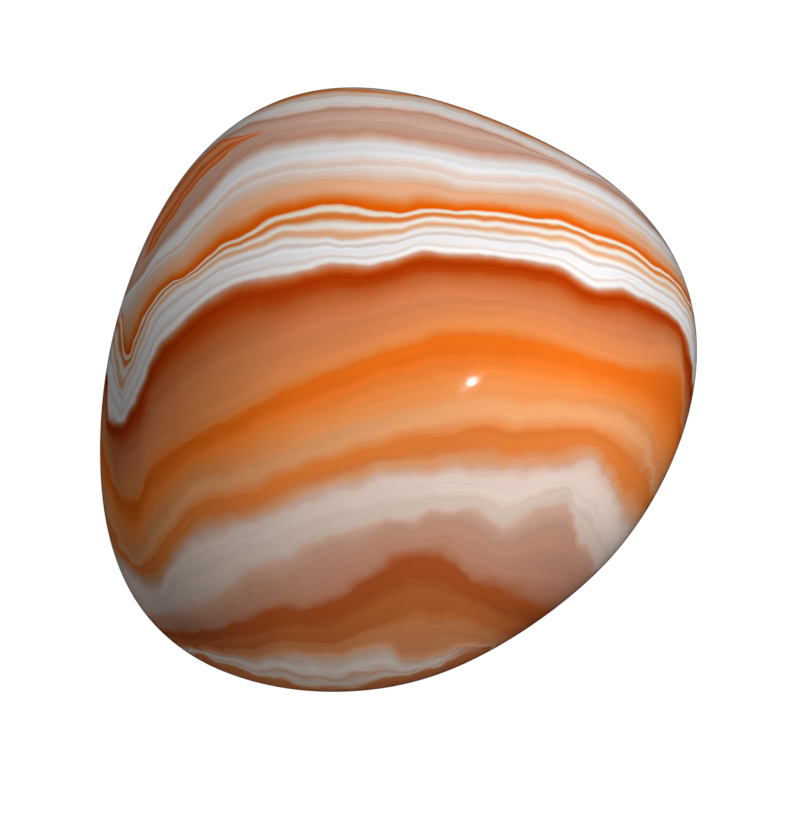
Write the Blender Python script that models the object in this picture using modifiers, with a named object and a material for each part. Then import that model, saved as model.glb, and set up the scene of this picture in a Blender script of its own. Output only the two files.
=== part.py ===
"""A tumbled sardonyx stone, lying on the flat that tumbling wore on its underside.

The stone is one solid. Metres, +Z up. The origin is on the rest plane, under the middle of the
outline. Seen from above, +X is the right side and +Y the far side of the broad polished face.
"""

import math

import bmesh
import bpy
import numpy as np
from mathutils import Vector

MM = 0.001

# The outline seen from above: its radius at sixteen even bearings, anticlockwise from +X.
# It is widest at its lower left, and nearly straight at its upper left and lower right.
OUTLINE_RADII_MM = (
    19.45,
    20.20,
    19.45,
    18.80,
    19.65,
    20.55,
    19.80,
    18.95,
    19.30,
    20.95,
    22.25,
    21.05,
    19.40,
    18.00,
    17.70,
    18.30,
)
CROWN_HEIGHT = 14.0 * MM  # from the girdle, the widest line, up to the crest
KEEL_DEPTH = 13.2 * MM  # from the girdle down to where an unworn underside would end
WORN_AWAY = 1.2 * MM  # lost from the underside to the flat that the stone rests on
CREST_SHIFT = Vector((1.8 * MM, -2.0 * MM))  # the crest stands off the middle of the outline
GIRDLE_TILT = Vector((0.03, 0.05))  # how fast the girdle rises along +X and +Y
FULLNESS = 2.15  # 2 is an ellipsoid, and more is a boxier pebble

# Broad cheeks worn into the sides: the way each faces, and how far out it lies from the middle of
# the girdle. The stone beyond that is drawn in by CHEEK_WEAR, over a soft edge of CHEEK_EDGE.
CHEEKS = (
    (Vector((0.62, -0.42, -0.66)).normalized(), 14.6 * MM),
    (Vector((-0.70, -0.10, -0.70)).normalized(), 15.4 * MM),
    (Vector((0.15, 0.72, -0.68)).normalized(), 15.0 * MM),
)
CHEEK_WEAR = 0.5
CHEEK_EDGE = 1.0 * MM

CAGE_CUTS = 11  # cuts across each side of the cube that the cage starts from
SMOOTH_LEVELS = 1
CAGE_SWELL = 1.008  # makes up for what Subdivision Surface draws in

STONE_COLOUR = (0.62, 0.22, 0.06, 1.0)
STONE_ROUGHNESS = 0.15


def clear_scene():
    for found in list(bpy.data.objects):
        bpy.data.objects.remove(found)


def outline_radius(bearing):
    """The smooth closed curve through OUTLINE_RADII_MM, as a sum of waves round the stone."""
    count = len(OUTLINE_RADII_MM)
    waves = np.fft.rfft(OUTLINE_RADII_MM) / count
    orders = np.arange(len(waves))
    shares = np.where((orders == 0) | (orders == count // 2), 1.0, 2.0)
    return MM * float(np.sum(shares * (waves * np.exp(1j * orders * bearing)).real))


def pebble_point(direction):
    """The unworn pebble's surface in this direction, from the middle of its girdle."""
    across = math.hypot(direction.x, direction.y)
    bearing = math.atan2(direction.y, direction.x)
    swell = CAGE_SWELL * (across**FULLNESS + abs(direction.z) ** FULLNESS) ** (-1 / FULLNESS)
    height = CROWN_HEIGHT if direction.z > 0 else KEEL_DEPTH
    flat = Vector((math.cos(bearing), math.sin(bearing))) * outline_radius(bearing) * across * swell
    rise = height * direction.z * swell + flat.dot(GIRDLE_TILT) * across
    if direction.z > 0:
        flat += CREST_SHIFT * direction.z**2
    return Vector((flat.x, flat.y, rise))


def wear_cheeks(point):
    """The point drawn in where it stands out past a cheek."""
    for facing, reach in CHEEKS:
        past = point.dot(facing) - reach
        excess = CHEEK_EDGE * math.log1p(math.exp(past / CHEEK_EDGE))
        point = point - facing * excess * CHEEK_WEAR
    return point


def stone_cage():
    """A cube cut into a grid, rounded onto the pebble and worn on its sides and underside."""
    cage = bmesh.new()
    bmesh.ops.create_cube(cage, size=2.0)
    bmesh.ops.subdivide_edges(cage, edges=cage.edges[:], cuts=CAGE_CUTS, use_grid_fill=True)
    rest_height = WORN_AWAY - KEEL_DEPTH
    for corner in cage.verts:
        # The tangent evens out the cells, which the cube's grid would crowd near its edges.
        spread = Vector([math.tan(share * math.pi / 4) for share in corner.co])
        corner.co = wear_cheeks(pebble_point(spread.normalized()))
        corner.co.z = max(corner.co.z, rest_height) - rest_height
    return cage


def centre_over_origin(cage):
    """Slides the cage so that the middle of its outline's box is over the origin."""
    corners = np.array([corner.co for corner in cage.verts])
    middle = (corners.min(axis=0) + corners.max(axis=0)) / 2
    bmesh.ops.translate(cage, verts=cage.verts, vec=(-middle[0], -middle[1], 0))


def stone_material():
    material = bpy.data.materials.new("polished_sardonyx")
    material.use_nodes = True
    shader = material.node_tree.nodes["Principled BSDF"]
    shader.inputs["Base Color"].default_value = STONE_COLOUR
    shader.inputs["Roughness"].default_value = STONE_ROUGHNESS
    shader.inputs["Metallic"].default_value = 0.0
    material.diffuse_color = STONE_COLOUR
    return material


def build_stone(collection):
    mesh = bpy.data.meshes.new("sardonyx_stone")
    cage = stone_cage()
    centre_over_origin(cage)
    cage.to_mesh(mesh)
    cage.free()
    mesh.shade_smooth()
    mesh.materials.append(stone_material())
    stone = bpy.data.objects.new("sardonyx_stone", mesh)
    collection.objects.link(stone)
    smooth = stone.modifiers.new("smooth", "SUBSURF")
    smooth.levels = SMOOTH_LEVELS
    smooth.render_levels = SMOOTH_LEVELS


def main():
    clear_scene()
    collection = bpy.data.collections.new("Sardonyx")
    bpy.context.scene.collection.children.link(collection)
    build_stone(collection)


main()
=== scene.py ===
"""The looks of the tumbled sardonyx: one polished stone, banded right through, on a pale floor.

The stone's shape comes from the CAD node. This script gives it a finer mesh and a banded finish.
"""

import math

import bmesh
import bpy
from mathutils import Matrix, Vector, noise
from mathutils.bvhtree import BVHTree


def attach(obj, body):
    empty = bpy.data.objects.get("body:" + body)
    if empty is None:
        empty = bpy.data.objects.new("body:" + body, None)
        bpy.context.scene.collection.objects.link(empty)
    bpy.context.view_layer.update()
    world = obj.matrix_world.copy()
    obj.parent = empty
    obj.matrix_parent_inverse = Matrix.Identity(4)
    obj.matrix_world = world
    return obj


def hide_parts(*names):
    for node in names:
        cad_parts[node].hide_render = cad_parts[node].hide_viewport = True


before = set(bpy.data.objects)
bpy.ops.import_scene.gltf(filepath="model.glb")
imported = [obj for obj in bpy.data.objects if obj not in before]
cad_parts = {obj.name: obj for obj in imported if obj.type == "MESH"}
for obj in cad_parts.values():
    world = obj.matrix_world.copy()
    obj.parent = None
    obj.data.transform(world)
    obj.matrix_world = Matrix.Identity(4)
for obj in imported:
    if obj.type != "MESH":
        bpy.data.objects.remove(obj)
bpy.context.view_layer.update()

MM = 0.001

# ---------------------------------------------------------------------------------------------
# The colours of the layers, as 0 to 255 values of red, green and blue on a screen.

# Milks, shells and oats.
BRIGHT_MILK = (248, 246, 247)
MILKY_SHELL = (248, 243, 239)
MILK = (243, 242, 244)
PALE_CREAM = (248, 244, 237)
SHELL = (246, 239, 235)
COOL_SHELL = (242, 236, 234)
SOFT_OAT = (240, 231, 226)
WARM_OAT = (242, 231, 224)
OAT = (237, 226, 219)
DUSTY_OAT = (233, 220, 214)
DUSTY_MILK = (227, 212, 206)

# Creams, chalks, ashes and buffs.
CREAM = (250, 241, 222)
SOFT_CREAM = (247, 232, 216)
PINK_SHELL = (248, 226, 217)
PALE_SHELL = (250, 226, 212)
CHALK = (244, 227, 214)
PEACH_SHELL = (248, 222, 204)
PEACH_CREAM = (244, 216, 193)
ALMOND = (237, 212, 198)
ASH = (232, 211, 199)
WARM_CHALK = (234, 212, 196)
PINK_ASH = (231, 208, 197)
WARM_ALMOND = (240, 206, 188)
LIT_PEACH = (254, 206, 172)
STRAW = (243, 210, 175)
PINK_ALMOND = (232, 205, 190)
DUSTY_ASH = (224, 202, 188)
PALE_PEACH = (240, 196, 164)
DUSTY_ROSE = (228, 191, 176)
ROSE_BUFF = (227, 190, 173)
DULL_ALMOND = (224, 190, 166)
PINK_BUFF = (225, 182, 162)
BUFF = (221, 178, 159)
WARM_BUFF = (218, 171, 150)
PALE_HAZEL = (209, 165, 142)

# Peaches, salmons, fawns and cocoas.
PEACH_MILK = (252, 200, 160)
SALMON = (241, 180, 141)
ROSY_ALMOND = (226, 180, 150)
SOFT_SALMON = (238, 180, 138)
LIT_SALMON = (252, 176, 128)
PALE_SAND = (231, 178, 146)
SANDY_ROSE = (230, 175, 140)
PEACH = (246, 175, 124)
ROSY_SAND = (222, 168, 136)
SANDY_PEACH = (228, 166, 125)
SOFT_PEACH = (240, 166, 110)
SOFT_APRICOT = (241, 163, 108)
FAWN = (213, 158, 132)
PALE_CLAY = (225, 156, 112)
ROSY_FAWN = (209, 152, 126)
HAZEL = (203, 152, 127)
COCOA = (199, 142, 116)
WARM_COCOA = (196, 134, 104)
HUSK = (170, 110, 75)

# Apricots, clays and tans.
LIT_ORANGE = (255, 165, 98)
LIT_APRICOT = (252, 150, 92)
SOFT_MELON = (243, 154, 90)
MUTED_MELON = (240, 152, 90)
DEEP_APRICOT = (249, 151, 80)
SAND = (229, 151, 99)
SOFT_COPPER = (236, 150, 88)
MELLOW_ORANGE = (239, 146, 84)
PALE_TAN = (219, 143, 94)
WARM_CLAY = (231, 141, 84)
CLAY = (222, 133, 82)
REDDISH_CLAY = (225, 130, 80)
TAN = (213, 135, 86)
MUTED_COPPER = (230, 131, 65)
SOFT_TAN = (209, 128, 80)
SOFT_RUST = (214, 122, 72)
REDDISH_TAN = (206, 118, 66)
RED_COCOA = (188, 112, 76)
BRIGHT_SIENNA = (202, 114, 59)

# Oranges, coppers, ambers and rusts.
BRIGHT_ORANGE = (255, 146, 66)
TANGERINE = (250, 139, 60)
GLOWING_ORANGE = (252, 132, 62)
MELON = (241, 138, 66)
BRIGHT_COPPER = (236, 132, 58)
COPPER = (234, 129, 56)
HOT_CLAY = (236, 120, 60)
BRIGHT_AMBER = (248, 122, 37)
BURNT_AMBER = (228, 120, 50)
AMBER = (244, 115, 26)
TERRACOTTA = (206, 106, 52)
SIENNA = (194, 104, 52)
BURNT_ORANGE = (222, 92, 36)
EMBER = (240, 99, 5)
UMBER = (181, 87, 39)
BRICK = (190, 72, 14)
RUST = (182, 54, 2)

# ---------------------------------------------------------------------------------------------
# The lines that part the layers, from the far side of the stone to the near side. Each is a
# smooth curve through points in millimetres, seen from above: +X right, +Y far.

OUTER_LINE = (
    (-20, 14), (-9, 18.3), (-7, 19), (-3, 19.45), (0, 19.15), (2, 18.95), (3, 18.62), (5, 17.97),
    (15, 12.6), (20, 6.5),
)
LENS_TOP = (
    (-20, 7), (-10, 17.1), (-8, 17.45), (-3, 18.08), (2, 17.68), (9, 15.27), (12, 13.95),
    (13, 13.62), (16, 11.3), (17.3, 10), (20, 5),
)
WEDGE_TOP = (
    (-20, 5.05), (-17.3, 7.6), (-16.8, 8.4), (-16.2, 10.3), (-15, 12.5), (-13.5, 14.5),
    (-12, 15.9), (-11.3, 16.4), (-10, 16.45), (-8, 16.9), (-3, 17.3), (0, 17.2), (1, 16.98),
    (3, 16.65), (10, 14.85), (12, 13.92), (14, 12.96), (17.3, 9.96), (20, 4.9),
)
WEDGE_BOTTOM = (
    (-20, 5), (-18, 6.8), (-16.5, 8.3), (-14.9, 10.5), (-13.5, 12.6), (-12, 14.25), (-10, 16),
    (-9, 16.4), (-8, 16.82), (-3, 17.2), (0, 17.1), (1, 16.88), (9, 15.15), (12, 13.87),
    (14, 12.91), (17.3, 9.92), (20, 4.8),
)
LENS_BOTTOM = (
    (-20, 4), (-18, 6.1), (-16.5, 7.7), (-15.45, 9.4), (-13.8, 11), (-12, 13.05), (-10, 15.1),
    (-6, 16.28), (-3, 16.45), (-2, 16.55), (1, 16.08), (6, 15.22), (9, 15), (11, 14.25),
    (14, 12.75), (16, 11.05), (17.3, 9.75), (20, 4.5),
)
MILK_LINE = (
    (-20, 3), (-17, 6.45), (-16, 7.6), (-14, 9.2), (-13, 10.25), (-12, 11.15), (-10, 12.85),
    (-7, 13.8), (-1, 14.05), (2, 13.77), (4, 13.22), (10, 12.95), (15, 10.7), (18, 7.9), (20, 4),
)
CREAM_LINE = (
    (-20, 12), (-18.05, 4.8), (-17.9, 3.8), (-17.62, 2.25), (-17, 3.3), (-16.45, 4.65),
    (-14.65, 6.8), (-13.55, 7.25), (-12, 8.65), (-10.95, 9.37), (-10, 9.72), (-8, 10.88),
    (-6, 11.42), (-4.5, 11.77), (0, 11.13), (2, 11.45), (4, 11.27), (5, 11.32), (8, 11.03),
    (11, 10.57), (12.5, 9.87), (13, 9.8), (15, 9.1), (16.5, 7.88), (17, 7.65), (19, 5.65), (20, 3),
)
PEACH_LINE = (
    (-20, 10), (-18.5, 2.5), (-18.2, 0.9), (-18, 0.05), (-17.5, 1.05), (-17, 2), (-16.5, 3.2),
    (-16, 4.5), (-14, 6.6), (-13, 7.1), (-11, 8.4), (-9, 9), (-7, 9.68), (-3, 9.55), (0, 9.88),
    (2, 10.3), (9, 9.58), (11, 9.33), (12.5, 8.52), (14, 8.22), (16, 7.13), (18, 5.93), (19, 4.5),
    (20, 1.5),
)
RUST_LINE = (
    (-20, 6), (-19.05, 0.8), (-18.98, -1.3), (-18.1, -2.2), (-17.5, -1.6), (-16.5, -0.05),
    (-15.4, 2.6), (-14, 4.1), (-10, 6.77), (-7, 7.1), (-6, 7.45), (-4, 7.85), (-2, 7.78), (2, 8.6),
    (4, 8.42), (8, 8.12), (9, 7.87), (10, 7.7), (12, 6.53), (13, 6.32), (14, 6.33), (16, 5.5),
    (17.5, 4.75), (18.6, 3.1), (19.1, 0.5), (20, -6),
)
AMBER_LINE = (
    (-20, -1), (-18.8, -5.2), (-18, -6.85), (-16.9, -6.95), (-16.55, -6.4), (-16.3, -5.65),
    (-16, -5.05), (-14, -3.4), (-10, -1.4), (-8, -0.2), (-2, 2.15), (-1, 2.6), (0, 2.85),
    (3.5, 3.75), (9, 3.2), (12, 2.2), (13, 1.95), (15, 1.38), (16, 1.38), (17, 1.62), (17.6, 1.55),
    (18, 1.1), (18.25, 0), (18.6, -6), (20, -10),
)
APRICOT_LINE = (
    (-20, -5), (-18.6, -8.5), (-17.7, -10.6), (-17.2, -11.2), (-15.5, -9.4), (-13, -6.55),
    (-10, -5.75), (-7, -4.5), (0, -2.2), (3, -1.75), (5, -1.25), (6, -1.25), (8, -1.6),
    (10, -1.5), (12, -1.6), (15, -2.7), (16, -4.2), (16.3, -5.2), (16.6, -6.6), (18, -10),
    (20, -14),
)
ASH_LINE = (
    (-20, -9.5), (-17.9, -11.3), (-15.9, -12.75), (-14, -10.5), (-13, -9.55), (-9, -8.25),
    (-5, -6.65), (-2, -5.85), (-1, -5.45), (2, -5.3), (5, -5.15), (7, -5.3), (10, -5),
    (12, -4.65), (13, -5.4), (13.6, -6.55), (14, -7.15), (14.6, -8.3), (15.4, -9.1), (18, -13),
    (20, -16),
)
BLUSH_LINE = (
    (-20, -13.5), (-16, -14.6), (-15, -14.55), (-11, -12.85), (-9.5, -11.6), (-7, -10.8),
    (-6, -10.15), (-1, -8.35), (1, -8.15), (2, -7.8), (4, -7.6), (5, -7.85), (6, -8.55),
    (6.5, -8.95), (7, -8.85), (8, -8.1), (10.4, -7.22), (11.1, -8.2), (11.3, -9), (11.6, -9.7),
    (12, -10.2), (12.3, -10.75), (12.6, -11.6), (15, -15), (20, -19),
)
UMBER_LINE = (
    (-20, -15), (-15, -15.6), (-14, -15.65), (-10.5, -15.05), (-9.5, -14.45), (-7, -13.95),
    (-5, -13.7), (-3, -12.6), (0, -10.65), (1, -10.3), (2, -10.3), (3.5, -10.9), (4.6, -12),
    (6, -12.4), (7, -12.85), (8, -13.15), (9, -13.75), (10, -14.1), (20, -20.5),
)
TAN_LINE = (
    (-20, -16.2), (-10, -16.65), (-7, -15.95), (-5, -16), (0, -14.1), (1, -13.6), (2, -13.8),
    (5, -14.6), (6.6, -15.5), (10, -17), (20, -21),
)
CHALK_LINE = (
    (-20, -16.6), (-11, -17.08), (-9, -17.3), (-8, -17.25), (-7, -17), (-6, -17), (-5, -17.15),
    (-4, -17.15), (-2, -16.6), (-1, -16.55), (-0.5, -16.7), (0.5, -17.5), (5, -16.55),
    (6, -16.75), (10, -18), (20, -21.5),
)
NEAR_LINE = (
    (-20, -16.9), (-13, -17.3), (-12, -17.6), (-8, -18.8), (-5, -19.5), (-4, -19.5), (0, -18.65),
    (1, -18.45), (4, -17.3), (5, -16.95), (6, -16.95), (10, -18.2), (20, -22),
)

# ---------------------------------------------------------------------------------------------
# What lies between each line and the next: (share of the way down to the next line, colour).

OUTER_MILK_LAYER = (
    (0, BRIGHT_ORANGE), (0.04, LIT_ORANGE), (0.11, LIT_PEACH), (0.26, PALE_SHELL),
    (0.32, WARM_ALMOND), (0.38, SHELL), (0.64, SHELL), (0.81, PINK_SHELL), (0.93, ROSE_BUFF),
    (1, FAWN),
)
LENS_LAYER = ((0, FAWN), (0.5, BUFF), (1, ROSE_BUFF))
WEDGE_LAYER = (
    (0, PALE_PEACH), (0.08, HOT_CLAY), (0.2, GLOWING_ORANGE), (0.36, LIT_SALMON),
    (0.5, GLOWING_ORANGE), (0.62, BURNT_ORANGE), (0.7, LIT_APRICOT), (0.78, GLOWING_ORANGE),
    (0.85, BURNT_ORANGE), (0.93, PEACH), (1, ROSE_BUFF),
)
LENS_THREAD = DUSTY_ROSE
WEDGE_TIP = (-9.3, -8.0)  # mm across, over which the wedge turns into the lens's pale thread
WEDGE_TAIL = (-16.2, -17.2)  # and the same at its other end
LOWER_LENS_LAYER = ((0, BUFF), (0.2, BUFF), (0.6, WARM_BUFF), (1, ROSY_FAWN))
MILK_LAYER = (
    (0, ROSY_FAWN), (0.13, PINK_BUFF), (0.23, PINK_ASH), (0.34, COOL_SHELL), (0.6, MILK),
    (0.7, SHELL), (0.82, ALMOND), (0.9, ALMOND), (1, WARM_OAT),
)
FLESH_LAYER = (
    (0, WARM_OAT), (0.12, ALMOND), (0.28, PALE_PEACH), (0.38, SALMON), (0.57, SALMON),
    (0.67, SOFT_APRICOT), (0.77, MELON), (0.86, AMBER), (0.92, EMBER), (1, EMBER),
)
CREAM_LAYER = (
    (0, MELON), (0.07, PEACH_CREAM), (0.12, CREAM), (0.18, CREAM), (0.23, STRAW),
    (0.28, SOFT_COPPER), (0.34, COPPER), (0.42, BRIGHT_COPPER), (0.5, SALMON), (0.57, SOFT_CREAM),
    (0.68, PALE_CREAM), (0.76, PEACH_CREAM), (0.86, SOFT_SALMON), (0.93, SOFT_SALMON),
    (1, PALE_PEACH),
)
MILK_HEART_LAYER = (
    (0, PALE_PEACH), (0.07, SOFT_CREAM), (0.13, BRIGHT_MILK), (0.19, SHELL), (0.25, DUSTY_MILK),
    (0.31, DUSTY_MILK), (0.37, BRIGHT_MILK), (0.56, BRIGHT_MILK), (0.62, SHELL), (0.69, DUSTY_OAT),
    (0.75, SOFT_OAT), (0.8, BRIGHT_MILK), (0.87, MILKY_SHELL), (0.92, OAT), (0.96, ROSE_BUFF),
    (1, FAWN),
)
RUST_LAYER = (
    (0, FAWN), (0.04, TERRACOTTA), (0.08, BRICK), (0.12, RUST), (0.22, BRICK), (0.33, TERRACOTTA),
    (0.45, SOFT_RUST), (0.55, CLAY), (0.62, CLAY), (0.75, WARM_CLAY), (0.92, MELLOW_ORANGE),
    (1, MELON),
)
AMBER_LAYER = (
    (0, MELON), (0.08, AMBER), (0.22, AMBER), (0.32, BRIGHT_AMBER), (0.5, TANGERINE),
    (0.65, DEEP_APRICOT), (0.8, SOFT_MELON), (0.92, SOFT_PEACH), (1, SOFT_PEACH),
)
APRICOT_LAYER = (
    (0, SOFT_PEACH), (0.08, SOFT_PEACH), (0.2, MUTED_MELON), (0.34, COPPER), (0.5, COPPER),
    (0.62, MUTED_COPPER), (0.74, SAND), (0.87, SANDY_PEACH), (1, ROSE_BUFF),
)
ASH_LAYER = (
    (0, ROSE_BUFF), (0.1, PINK_ALMOND), (0.2, ASH), (0.45, ASH), (0.65, DUSTY_ASH),
    (0.88, DUSTY_ASH), (1, BUFF),
)
BLUSH_LAYER = (
    (0, BUFF), (0.12, PALE_HAZEL), (0.3, HAZEL), (0.75, COCOA), (0.88, WARM_COCOA), (1, RED_COCOA),
)
UMBER_LAYER = ((0, RED_COCOA), (0.12, UMBER), (0.45, UMBER), (0.7, SIENNA), (1, SIENNA))
TAN_LAYER = (
    (0, SIENNA), (0.15, BRIGHT_SIENNA), (0.3, SOFT_TAN), (0.6, TAN), (0.8, PALE_TAN),
    (0.9, PALE_CLAY), (1, PALE_SAND),
)
CHALK_LAYER = (
    (0, ROSY_SAND), (0.14, DULL_ALMOND), (0.28, ASH), (0.45, CHALK), (0.56, ASH),
    (0.65, ROSY_ALMOND), (0.74, ASH), (0.84, WARM_CHALK), (0.93, SANDY_ROSE), (1, TAN),
)
SPENT_CHALK = ((0, TAN), (0.5, SIENNA), (1, TAN))
CHALK_END = (2.5, 5.5)  # mm across, over which the chalk gives out
FAR_RIM = (
    (0, PALE_PEACH), (0.15, CREAM), (0.3, AMBER), (0.45, BRICK), (0.5, ROSE_BUFF), (0.62, SHELL),
    (0.75, DUSTY_MILK), (0.84, HUSK), (0.87, ALMOND), (0.9, BURNT_AMBER), (0.93, HUSK),
    (0.96, PEACH_SHELL), (0.978, PEACH_MILK), (0.99, BRIGHT_ORANGE), (1, BRIGHT_ORANGE),
)
NEAR_RIM = (
    (0, TAN), (0.04, REDDISH_TAN), (0.08, REDDISH_CLAY), (0.11, SIENNA), (0.14, ASH), (0.17, CHALK),
    (0.2, BUFF), (0.23, UMBER), (0.28, TAN), (0.33, SIENNA), (0.38, CHALK), (0.45, ASH),
    (0.5, SIENNA), (0.65, TAN), (0.8, BUFF), (1, ROSE_BUFF),
)
RIM_WIDTH = 6.0  # mm, of the bands beyond the outermost lines

# From the far side to the near side: a line, and the layer just under it.
LAYERS = (
    ("outer milk", OUTER_LINE, OUTER_MILK_LAYER),
    ("lens", LENS_TOP, LENS_LAYER),
    ("wedge", WEDGE_TOP, WEDGE_LAYER),
    ("lower lens", WEDGE_BOTTOM, LOWER_LENS_LAYER),
    ("milk", LENS_BOTTOM, MILK_LAYER),
    ("flesh", MILK_LINE, FLESH_LAYER),
    ("cream", CREAM_LINE, CREAM_LAYER),
    ("milk heart", PEACH_LINE, MILK_HEART_LAYER),
    ("rust", RUST_LINE, RUST_LAYER),
    ("amber", AMBER_LINE, AMBER_LAYER),
    ("apricot", APRICOT_LINE, APRICOT_LAYER),
    ("ash", ASH_LINE, ASH_LAYER),
    ("blush", BLUSH_LINE, BLUSH_LAYER),
    ("umber", UMBER_LINE, UMBER_LAYER),
    ("tan", TAN_LINE, TAN_LAYER),
    ("chalk", CHALK_LINE, CHALK_LAYER),
    ("near rim", NEAR_LINE, NEAR_RIM),
)
CROWDED_LAYERS = ("outer milk", "lens", "wedge", "lower lens")  # their lines cross and touch
LINE_SPAN_X = 20.0  # mm, the lines run from -20 to +20
LINE_SPAN_Y = 22.0  # mm, and stay within -22 to +22

# ---------------------------------------------------------------------------------------------
# The stone's mesh.

GIRDLE_HEIGHT = 12.0 * MM
FINE_LEVELS = 2
WORN_HOLLOW = 0.035 * MM  # how deep the tumbling's slow undulations go
HOLLOW_WIDTH = 5.0 * MM
FLAT_GUARD = 0.4 * MM  # the undulations fade out this near to the flat
WELD = 0.001 * MM
LEVEL_ENOUGH = math.radians(40)  # triangles that meet flatter than this may become one quad
SQUARE_ENOUGH = math.radians(60)


def joined_quads(node):
    """The node's surface as one closed skin, mostly of four-sided faces."""
    skin = bmesh.new()
    skin.from_mesh(node.data)
    bmesh.ops.remove_doubles(skin, verts=skin.verts, dist=WELD)
    bmesh.ops.join_triangles(
        skin, faces=skin.faces, angle_face_threshold=LEVEL_ENOUGH, angle_shape_threshold=SQUARE_ENOUGH
    )
    mesh = bpy.data.meshes.new("polished_stone")
    skin.to_mesh(mesh)
    skin.free()
    return mesh


def subdivided(piece):
    """Adds a Subdivision Surface and makes its result the piece's own mesh."""
    fine = piece.modifiers.new("fine", "SUBSURF")
    fine.levels = FINE_LEVELS
    fine.render_levels = FINE_LEVELS
    graph = bpy.context.evaluated_depsgraph_get()
    mesh = bpy.data.meshes.new_from_object(piece.evaluated_get(graph))
    piece.modifiers.remove(fine)
    piece.data = mesh


def wear_hollows(mesh):
    """Draws the surface in by the faint undulations that tumbling leaves under the polish."""
    normals = [vertex.normal.copy() for vertex in mesh.vertices]
    for vertex, normal in zip(mesh.vertices, normals):
        hollow = 0.5 + 0.5 * noise.noise(vertex.co / HOLLOW_WIDTH)
        guard = min(1.0, max(0.0, vertex.co.z / FLAT_GUARD))
        vertex.co -= normal * WORN_HOLLOW * hollow * guard


def polished_stone():
    """The whole stone as it is seen, in place of its CAD node."""
    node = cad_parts["sardonyx_stone"]
    piece = bpy.data.objects.new("polished_stone", joined_quads(node))
    bpy.context.scene.collection.objects.link(piece)
    subdivided(piece)
    wear_hollows(piece.data)
    piece.data.shade_smooth()
    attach(piece, "root")
    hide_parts("sardonyx_stone")
    return piece


# ---------------------------------------------------------------------------------------------
# Node helpers.

# Where a Mix node keeps its two colours and its mixed colour.
MIX_COLOUR_A = 6
MIX_COLOUR_B = 7
MIX_COLOUR_RESULT = 2


def screen_colour(levels):
    """Levels of 0 to 255 on a screen as the linear colour that the shader works in."""
    shares = [level / 255 for level in levels]
    linear = [s / 12.92 if s <= 0.04045 else ((s + 0.055) / 1.055) ** 2.4 for s in shares]
    return (*linear, 1.0)


def plug(tree, socket, value):
    """Links a socket to another node's output, or sets it to a constant."""
    if isinstance(value, bpy.types.NodeSocket):
        tree.links.new(value, socket)
    else:
        socket.default_value = value


def add_node(tree, kind, sockets=None, **settings):
    """A new node with its settings made and its sockets plugged."""
    node = tree.nodes.new(kind)
    for name, value in settings.items():
        setattr(node, name, value)
    for name, value in (sockets or {}).items():
        plug(tree, node.inputs[name], value)
    return node


def maths(tree, operation, *values):
    """The outcome of one step of arithmetic."""
    node = add_node(tree, "ShaderNodeMath", operation=operation)
    for socket, value in zip(node.inputs, values):
        plug(tree, socket, value)
    return node.outputs["Value"]


def spread(tree, value, low, high, new_low=0.0, new_high=1.0, smooth=False):
    """The value carried from low..high onto new_low..new_high, and held at the ends."""
    node = add_node(
        tree,
        "ShaderNodeMapRange",
        {"Value": value, "From Min": low, "From Max": high, "To Min": new_low, "To Max": new_high},
        clamp=True,
        interpolation_type="SMOOTHSTEP" if smooth else "LINEAR",
    )
    return node.outputs["Result"]


def cloud(tree, place, scale, detail, roughness=0.5):
    """Smooth noise, about -0.5 to 0.5, with features 1/scale across."""
    node = add_node(
        tree,
        "ShaderNodeTexNoise",
        {"Vector": place, "Scale": scale, "Detail": detail, "Roughness": roughness},
        noise_dimensions="3D",
    )
    return maths(tree, "SUBTRACT", node.outputs["Fac"], 0.5)


def stack(tree, x, y, z):
    """Three values as one place."""
    return add_node(tree, "ShaderNodeCombineXYZ", {"X": x, "Y": y, "Z": z}).outputs["Vector"]


def blend_colours(tree, share, under, over):
    """The first colour with this share of the second laid over it."""
    node = add_node(tree, "ShaderNodeMix", data_type="RGBA")
    plug(tree, node.inputs["Factor"], share)
    plug(tree, node.inputs[MIX_COLOUR_A], under)
    plug(tree, node.inputs[MIX_COLOUR_B], over)
    return node.outputs[MIX_COLOUR_RESULT]


def colour_steps(tree, share, stops):
    """A colour ramp through the given stops."""
    node = add_node(tree, "ShaderNodeValToRGB", {"Fac": share})
    ramp = node.color_ramp
    while len(ramp.elements) > 1:
        ramp.elements.remove(ramp.elements[-1])
    ramp.elements[0].position = stops[0][0]
    ramp.elements[0].color = screen_colour(stops[0][1])
    for position, levels in stops[1:]:
        ramp.elements.new(position).color = screen_colour(levels)
    return node.outputs["Color"]


def line_height(tree, name, across, points):
    """The line's height at this place across the stone, both in millimetres."""
    share = spread(tree, across, -LINE_SPAN_X, LINE_SPAN_X)
    node = add_node(tree, "ShaderNodeFloatCurve", {"Value": share}, label=name)
    curve = node.mapping.curves[0]
    while len(curve.points) > 2:
        curve.points.remove(curve.points[1])
    places = [
        ((x + LINE_SPAN_X) / (2 * LINE_SPAN_X), (y + LINE_SPAN_Y) / (2 * LINE_SPAN_Y)) for x, y in points
    ]
    curve.points[0].location = places[0]
    curve.points[-1].location = places[-1]
    for place in places[1:-1]:
        curve.points.new(*place)
    for point in curve.points:
        point.handle_type = "AUTO_CLAMPED"
    node.mapping.update()
    return spread(tree, node.outputs["Value"], 0.0, 1.0, -LINE_SPAN_Y, LINE_SPAN_Y)


# ---------------------------------------------------------------------------------------------
# The stone's finish. Lengths are in millimetres here, and a cloud's scale is in features per mm.

SWAY_SCALE = 0.11
SWAY_DETAIL = 1.0
SWAY = 0.9  # how far the layers wander, for each mm below the girdle
LEAN = 0.22  # how far they lean to the near side, for each mm below the girdle

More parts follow.
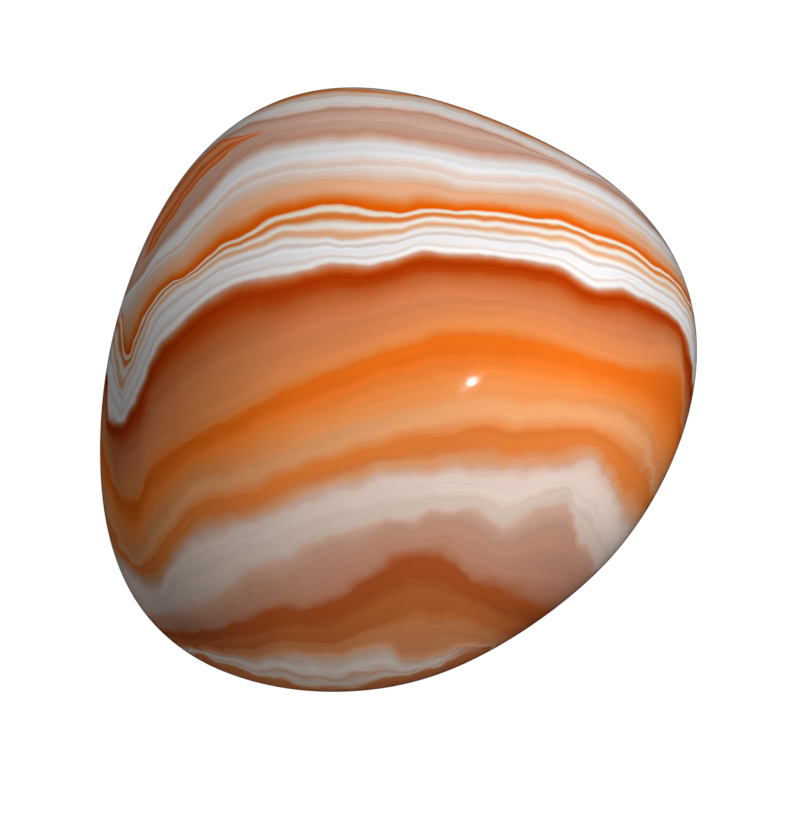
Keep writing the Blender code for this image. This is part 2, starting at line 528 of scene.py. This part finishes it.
WAVER_FAR = 0.4  # how much the layers' edges waver at the far side
WAVER_NEAR = 0.9  # and in the dull layers of the near side
WAVER_FADE = (4.0, -6.0)  # mm up, between the two
WAVER_SIDEWAYS_SCALE = 0.5
WAVER_UP_SCALE = 0.6
WAVER_DETAIL = 1.5
OTHER_CLOUD = (37.0, 11.0, 5.0)  # moves a cloud aside, so that two clouds don't match
FLAME_ACROSS = (8.0, 13.0)
FLAME_UP = (0.0, -5.0)
FLAME_SCALE = 1.6
FLAME_DETAIL = 3.0
FLAME_RAGGEDNESS = 0.65
FLAME_DEPTH = 1.1

LINE_STRETCH = 0.07  # the fine lines change this slowly along the layers
FINE_LINES = 10.0  # for each layer
FINE_DETAIL = 2.0
FINE_TONE = 0.22
BROAD_LINES = 3.3
BROAD_DETAIL = 1.0
BROAD_TONE = 0.22
SLOW_SCALE = 0.25
SLOW_DETAIL = 3.0
SLOW_RAGGEDNESS = 0.6
SLOW_TONE = 0.10
# Painted shade: the colour is darkened towards both ends of the stone, most at the left of the near
# side.
LEFT_SHADE_SPAN = (-17.5, -5.0)  # mm across, where the painted shade at the left end is full and where it ends
RIGHT_SHADE_SPAN = (12.0, 17.5)
LEFT_SHADE_NEAR = 0.68
LEFT_SHADE_FAR = 0.89
LEFT_SHADE_FADE = (2.0, 8.0)  # mm up, between the two
RIGHT_SHADE = 0.88

POLISH = 0.075  # roughness
POLISH_UNEVEN = 0.03
SKIN_BUMP = 0.05
SKIN_DEPTH = 0.02 * MM
STONE_IOR = 1.54
STONE_SHINE = 0.38


def layer_place(tree):
    """Where a point lies in the stone, and among its layers: across, and up towards the far side."""
    place = add_node(tree, "ShaderNodeTexCoord").outputs["Object"]
    in_mm = add_node(tree, "ShaderNodeVectorMath", {0: place}, operation="SCALE")
    in_mm.inputs["Scale"].default_value = 1 / MM
    place = in_mm.outputs["Vector"]
    split = add_node(tree, "ShaderNodeSeparateXYZ", {"Vector": place})
    across = split.outputs["X"]
    high = split.outputs["Z"]
    # Under the girdle the layers lean and sway, more the deeper they run.
    depth = maths(tree, "MAXIMUM", maths(tree, "SUBTRACT", GIRDLE_HEIGHT / MM, high), 0.0)
    sway = maths(tree, "MULTIPLY", cloud(tree, place, SWAY_SCALE, SWAY_DETAIL), depth)
    lean = maths(tree, "MULTIPLY", depth, LEAN)
    up = maths(tree, "ADD", split.outputs["Y"], maths(tree, "MULTIPLY_ADD", sway, SWAY, lean))
    # The edges waver a little, and more in the dull layers of the near side.
    waver = spread(tree, up, *WAVER_FADE, WAVER_FAR, WAVER_NEAR)
    aside = add_node(tree, "ShaderNodeVectorMath", {0: place, 1: OTHER_CLOUD}, operation="ADD")
    aside = aside.outputs["Vector"]
    sideways = cloud(tree, aside, WAVER_SIDEWAYS_SCALE, WAVER_DETAIL)
    across = maths(tree, "MULTIPLY_ADD", sideways, waver, across)
    upwards = cloud(tree, place, WAVER_UP_SCALE, WAVER_DETAIL)
    up = maths(tree, "MULTIPLY_ADD", upwards, waver, up)
    # The dull layers break into small flames where they turn down at the right.
    flames = maths(tree, "MULTIPLY", spread(tree, across, *FLAME_ACROSS), spread(tree, up, *FLAME_UP))
    flicker = cloud(tree, aside, FLAME_SCALE, FLAME_DETAIL, FLAME_RAGGEDNESS)
    across = maths(tree, "MULTIPLY_ADD", flicker, maths(tree, "MULTIPLY", flames, FLAME_DEPTH), across)
    return place, across, up


def layer_colour(tree, name, stops, share, across):
    """One layer's colours. The wedge thins to a thread at both its ends, and the chalk gives out."""
    colour = colour_steps(tree, share, stops)
    if name == "wedge":
        thinned = maths(
            tree, "MAXIMUM", spread(tree, across, *WEDGE_TIP), spread(tree, across, *WEDGE_TAIL)
        )
        return blend_colours(tree, thinned, colour, screen_colour(LENS_THREAD))
    if name == "chalk":
        spent = colour_steps(tree, share, SPENT_CHALK)
        return blend_colours(tree, spread(tree, across, *CHALK_END), colour, spent)
    return colour


def banded_colour(tree, across, up):
    """Every layer's colour laid over the one before, and the place among the layers."""
    lines = [line_height(tree, name, across, points) for name, points, _ in LAYERS]
    far_edge = maths(tree, "ADD", lines[0], RIM_WIDTH)
    near_edge = maths(tree, "SUBTRACT", lines[-1], RIM_WIDTH)
    colour = colour_steps(tree, spread(tree, up, far_edge, lines[0]), FAR_RIM)
    # The place among the layers is counted only where the lines keep clear of one another.
    lens_end = lines[len(CROWDED_LAYERS)]
    outer_milk = spread(tree, up, lines[0], lines[1])
    order = maths(tree, "ADD", outer_milk, spread(tree, up, lines[1], lens_end))
    for (name, _, stops), top, bottom in zip(LAYERS, lines, lines[1:] + [near_edge]):
        share = spread(tree, up, top, bottom)
        if name not in CROWDED_LAYERS:
            order = maths(tree, "ADD", share, order)
        layer = layer_colour(tree, name, stops, share, across)
        colour = blend_colours(tree, maths(tree, "LESS_THAN", up, top), colour, layer)
    return colour, order


def lines_along_layers(tree, place, order, count, detail):
    """Streaks that follow the layers, so many for each layer."""
    split = add_node(tree, "ShaderNodeSeparateXYZ", {"Vector": place})
    along = maths(tree, "MULTIPLY", split.outputs["X"], LINE_STRETCH)
    deep = maths(tree, "MULTIPLY", split.outputs["Z"], LINE_STRETCH)
    return cloud(tree, stack(tree, along, maths(tree, "MULTIPLY", order, count), deep), 1.0, detail)


def painted_end_shade(tree, across, up):
    """Painted shade: the colour darkened a little towards both ends of the stone, and most at the left
    of the near side.
    """
    left_shade_level = spread(tree, up, *LEFT_SHADE_FADE, LEFT_SHADE_NEAR, LEFT_SHADE_FAR)
    left_shade_factor = spread(tree, across, *LEFT_SHADE_SPAN, left_shade_level, 1.0, smooth=True)
    right_shade_factor = spread(tree, across, *RIGHT_SHADE_SPAN, 1.0, RIGHT_SHADE, smooth=True)
    return maths(tree, "MULTIPLY", left_shade_factor, right_shade_factor)


def stone_finish():
    """Polished banded sardonyx: the layers, fine lines that follow them, slow clouds, and painted shade
    towards both ends.
    """
    material = bpy.data.materials.new("banded_sardonyx")
    material.use_nodes = True
    tree = material.node_tree
    shader = tree.nodes["Principled BSDF"]
    place, across, up = layer_place(tree)
    colour, order = banded_colour(tree, across, up)
    fine = lines_along_layers(tree, place, order, FINE_LINES, FINE_DETAIL)
    broad = lines_along_layers(tree, place, order, BROAD_LINES, BROAD_DETAIL)
    slow = cloud(tree, place, SLOW_SCALE, SLOW_DETAIL, SLOW_RAGGEDNESS)
    # The slow clouds vary the tone at random, on top of painted shade towards both ends.
    tone_and_painted_shade = maths(tree, "MULTIPLY_ADD", slow, SLOW_TONE, painted_end_shade(tree, across, up))
    tone_and_painted_shade = maths(tree, "MULTIPLY_ADD", fine, FINE_TONE, tone_and_painted_shade)
    tone_and_painted_shade = maths(tree, "MULTIPLY_ADD", broad, BROAD_TONE, tone_and_painted_shade)
    shaded = add_node(tree, "ShaderNodeVectorMath", {0: colour}, operation="SCALE")
    plug(tree, shaded.inputs["Scale"], tone_and_painted_shade)
    plug(tree, shader.inputs["Base Color"], shaded.outputs["Vector"])
    plug(tree, shader.inputs["Roughness"], maths(tree, "MULTIPLY_ADD", slow, POLISH_UNEVEN, POLISH))
    relief = maths(tree, "ADD", fine, slow)
    skin = add_node(
        tree, "ShaderNodeBump", {"Strength": SKIN_BUMP, "Distance": SKIN_DEPTH, "Height": relief}
    )
    plug(tree, shader.inputs["Normal"], skin.outputs["Normal"])
    shader.inputs["IOR"].default_value = STONE_IOR
    shader.inputs["Specular IOR Level"].default_value = STONE_SHINE
    return material


# ---------------------------------------------------------------------------------------------
# The floor, the light and the camera.

WHITE = (1.0, 1.0, 1.0, 1.0)

FLOOR_RADIUS = 0.9
FLOOR_TURNS = 96
COVE_RADIUS = 0.12
COVE_STEPS = 16
FLOOR_COLOUR = (0.06, 0.06, 0.06, 1.0)
FLOOR_ROUGHNESS = 0.9
FLOOR_GLOW = 1.0
FLOOR_WELD = 0.01 * MM

KEY_PLACE = Vector((40.5, 18.4, 122.9)) * MM
KEY_RADIUS = 8 * MM
KEY_LEVEL = 0.89  # 1 lights a white face at the crest to full white
CREST = Vector((0, 0, 20)) * MM

LIGHT_FROM_BELOW = 1.05  # what a pale floor sends back up
LIGHT_FROM_ABOVE = 0.03
HORIZON = (-0.1, 0.1)  # the light fades between the two over this height

GLINT_SPOT = Vector((4.74, 0.34, 0)) * MM
GLINT_DISTANCE = 0.4
GLINT_TURN = math.radians(90)
GLINT_PARTS = (  # name, length and width, power
    ("glint", (0.012, 0.005), 0.022),
    ("glow", (0.055, 0.008), 0.004),
)

CAMERA_PLACE = Vector((0.1, -1.67, 315.5)) * MM
LENS_MM = 200.0
SENSOR_MM = 36.0


def floor_finish():
    """A plain floor that looks white and takes no shading."""
    material = bpy.data.materials.new("pale_floor")
    material.use_nodes = True
    shader = material.node_tree.nodes["Principled BSDF"]
    shader.inputs["Base Color"].default_value = FLOOR_COLOUR
    shader.inputs["Roughness"].default_value = FLOOR_ROUGHNESS
    shader.inputs["Specular IOR Level"].default_value = 0.0
    shader.inputs["Emission Color"].default_value = WHITE
    shader.inputs["Emission Strength"].default_value = FLOOR_GLOW
    return material


def floor_profile():
    """Half of the floor's section: flat from the middle out, then a quarter round up into a wall."""
    profile = [(0.0, 0.0), (FLOOR_RADIUS, 0.0)]
    for step in range(1, COVE_STEPS + 1):
        angle = step / COVE_STEPS * math.pi / 2
        out = FLOOR_RADIUS + COVE_RADIUS * math.sin(angle)
        profile.append((out, COVE_RADIUS * (1 - math.cos(angle))))
    return profile


def pale_floor():
    """The round floor. It neither lights the stone nor mirrors in it."""
    skin = bmesh.new()
    points = [skin.verts.new((out, 0.0, rise)) for out, rise in floor_profile()]
    edges = [skin.edges.new(pair) for pair in zip(points, points[1:])]
    bmesh.ops.spin(
        skin,
        geom=points + edges,
        cent=(0, 0, 0),
        axis=(0, 0, 1),
        angle=math.tau,
        steps=FLOOR_TURNS,
        use_merge=True,
    )
    bmesh.ops.remove_doubles(skin, verts=skin.verts, dist=FLOOR_WELD)
    mesh = bpy.data.meshes.new("pale_floor")
    skin.to_mesh(mesh)
    skin.free()
    mesh.shade_smooth()
    mesh.materials.append(floor_finish())
    floor = bpy.data.objects.new("pale_floor", mesh)
    bpy.context.scene.collection.objects.link(floor)
    floor.visible_diffuse = False
    floor.visible_glossy = False
    floor.visible_shadow = False


def hang(lamp, place):
    """Puts a lamp into the scene, out of the camera's sight."""
    thing = bpy.data.objects.new(lamp.name, lamp)
    bpy.context.scene.collection.objects.link(thing)
    thing.location = place
    thing.visible_camera = False
    return thing


def key_lamp():
    """A round lamp close over the right of the stone. The polish doesn't mirror it."""
    lamp = bpy.data.lights.new("key", "POINT")
    lamp.energy = KEY_LEVEL * 4 * math.pi**2 * (KEY_PLACE - CREST).length_squared
    lamp.shadow_soft_size = KEY_RADIUS
    lamp.cycles.use_multiple_importance_sampling = False
    hang(lamp, KEY_PLACE).visible_glossy = False


def glint_lamps(stone):
    """Small lamps that show only as the glint on the polish, at GLINT_SPOT: a core and a faint glow."""
    tree = BVHTree.FromObject(stone, bpy.context.evaluated_depsgraph_get())
    spot, normal, _, _ = tree.ray_cast(GLINT_SPOT + Vector((0, 0, 1)), Vector((0, 0, -1)))
    sight = (CAMERA_PLACE - spot).normalized()
    away = (2 * normal.dot(sight) * normal - sight).normalized()
    turn = Matrix.Rotation(GLINT_TURN, 3, "Z")
    for name, size, power in GLINT_PARTS:
        lamp = bpy.data.lights.new(name, "AREA")
        lamp.shape = "ELLIPSE"
        lamp.size, lamp.size_y = size
        lamp.energy = power
        thing = hang(lamp, spot + away * GLINT_DISTANCE)
        thing.rotation_euler = (away.to_track_quat("Z", "Y").to_matrix() @ turn).to_euler()
        thing.visible_diffuse = False


def pale_room():
    """Soft light from all round, nearly all of it from below the horizon."""
    world = bpy.data.worlds.new("pale_room")
    world.use_nodes = True
    tree = world.node_tree
    way = add_node(tree, "ShaderNodeTexCoord").outputs["Generated"]
    rise = add_node(tree, "ShaderNodeSeparateXYZ", {"Vector": way}).outputs["Z"]
    background = tree.nodes["Background"]
    background.inputs["Color"].default_value = WHITE
    level = spread(tree, rise, *HORIZON, LIGHT_FROM_BELOW, LIGHT_FROM_ABOVE)
    plug(tree, background.inputs["Strength"], level)
    world.cycles_visibility.glossy = False
    bpy.context.scene.world = world
    bpy.context.scene.view_settings.view_transform = "Standard"


def overhead_camera():
    """A long lens straight above the stone."""
    lens = bpy.data.cameras.new("overhead")
    lens.lens = LENS_MM
    lens.sensor_width = SENSOR_MM
    camera = bpy.data.objects.new("overhead", lens)
    bpy.context.scene.collection.objects.link(camera)
    camera.location = CAMERA_PLACE
    bpy.context.scene.camera = camera


def main():
    stone = polished_stone()
    stone.data.materials.clear()
    stone.data.materials.append(stone_finish())
    pale_floor()
    key_lamp()
    glint_lamps(stone)
    pale_room()
    overhead_camera()


main()
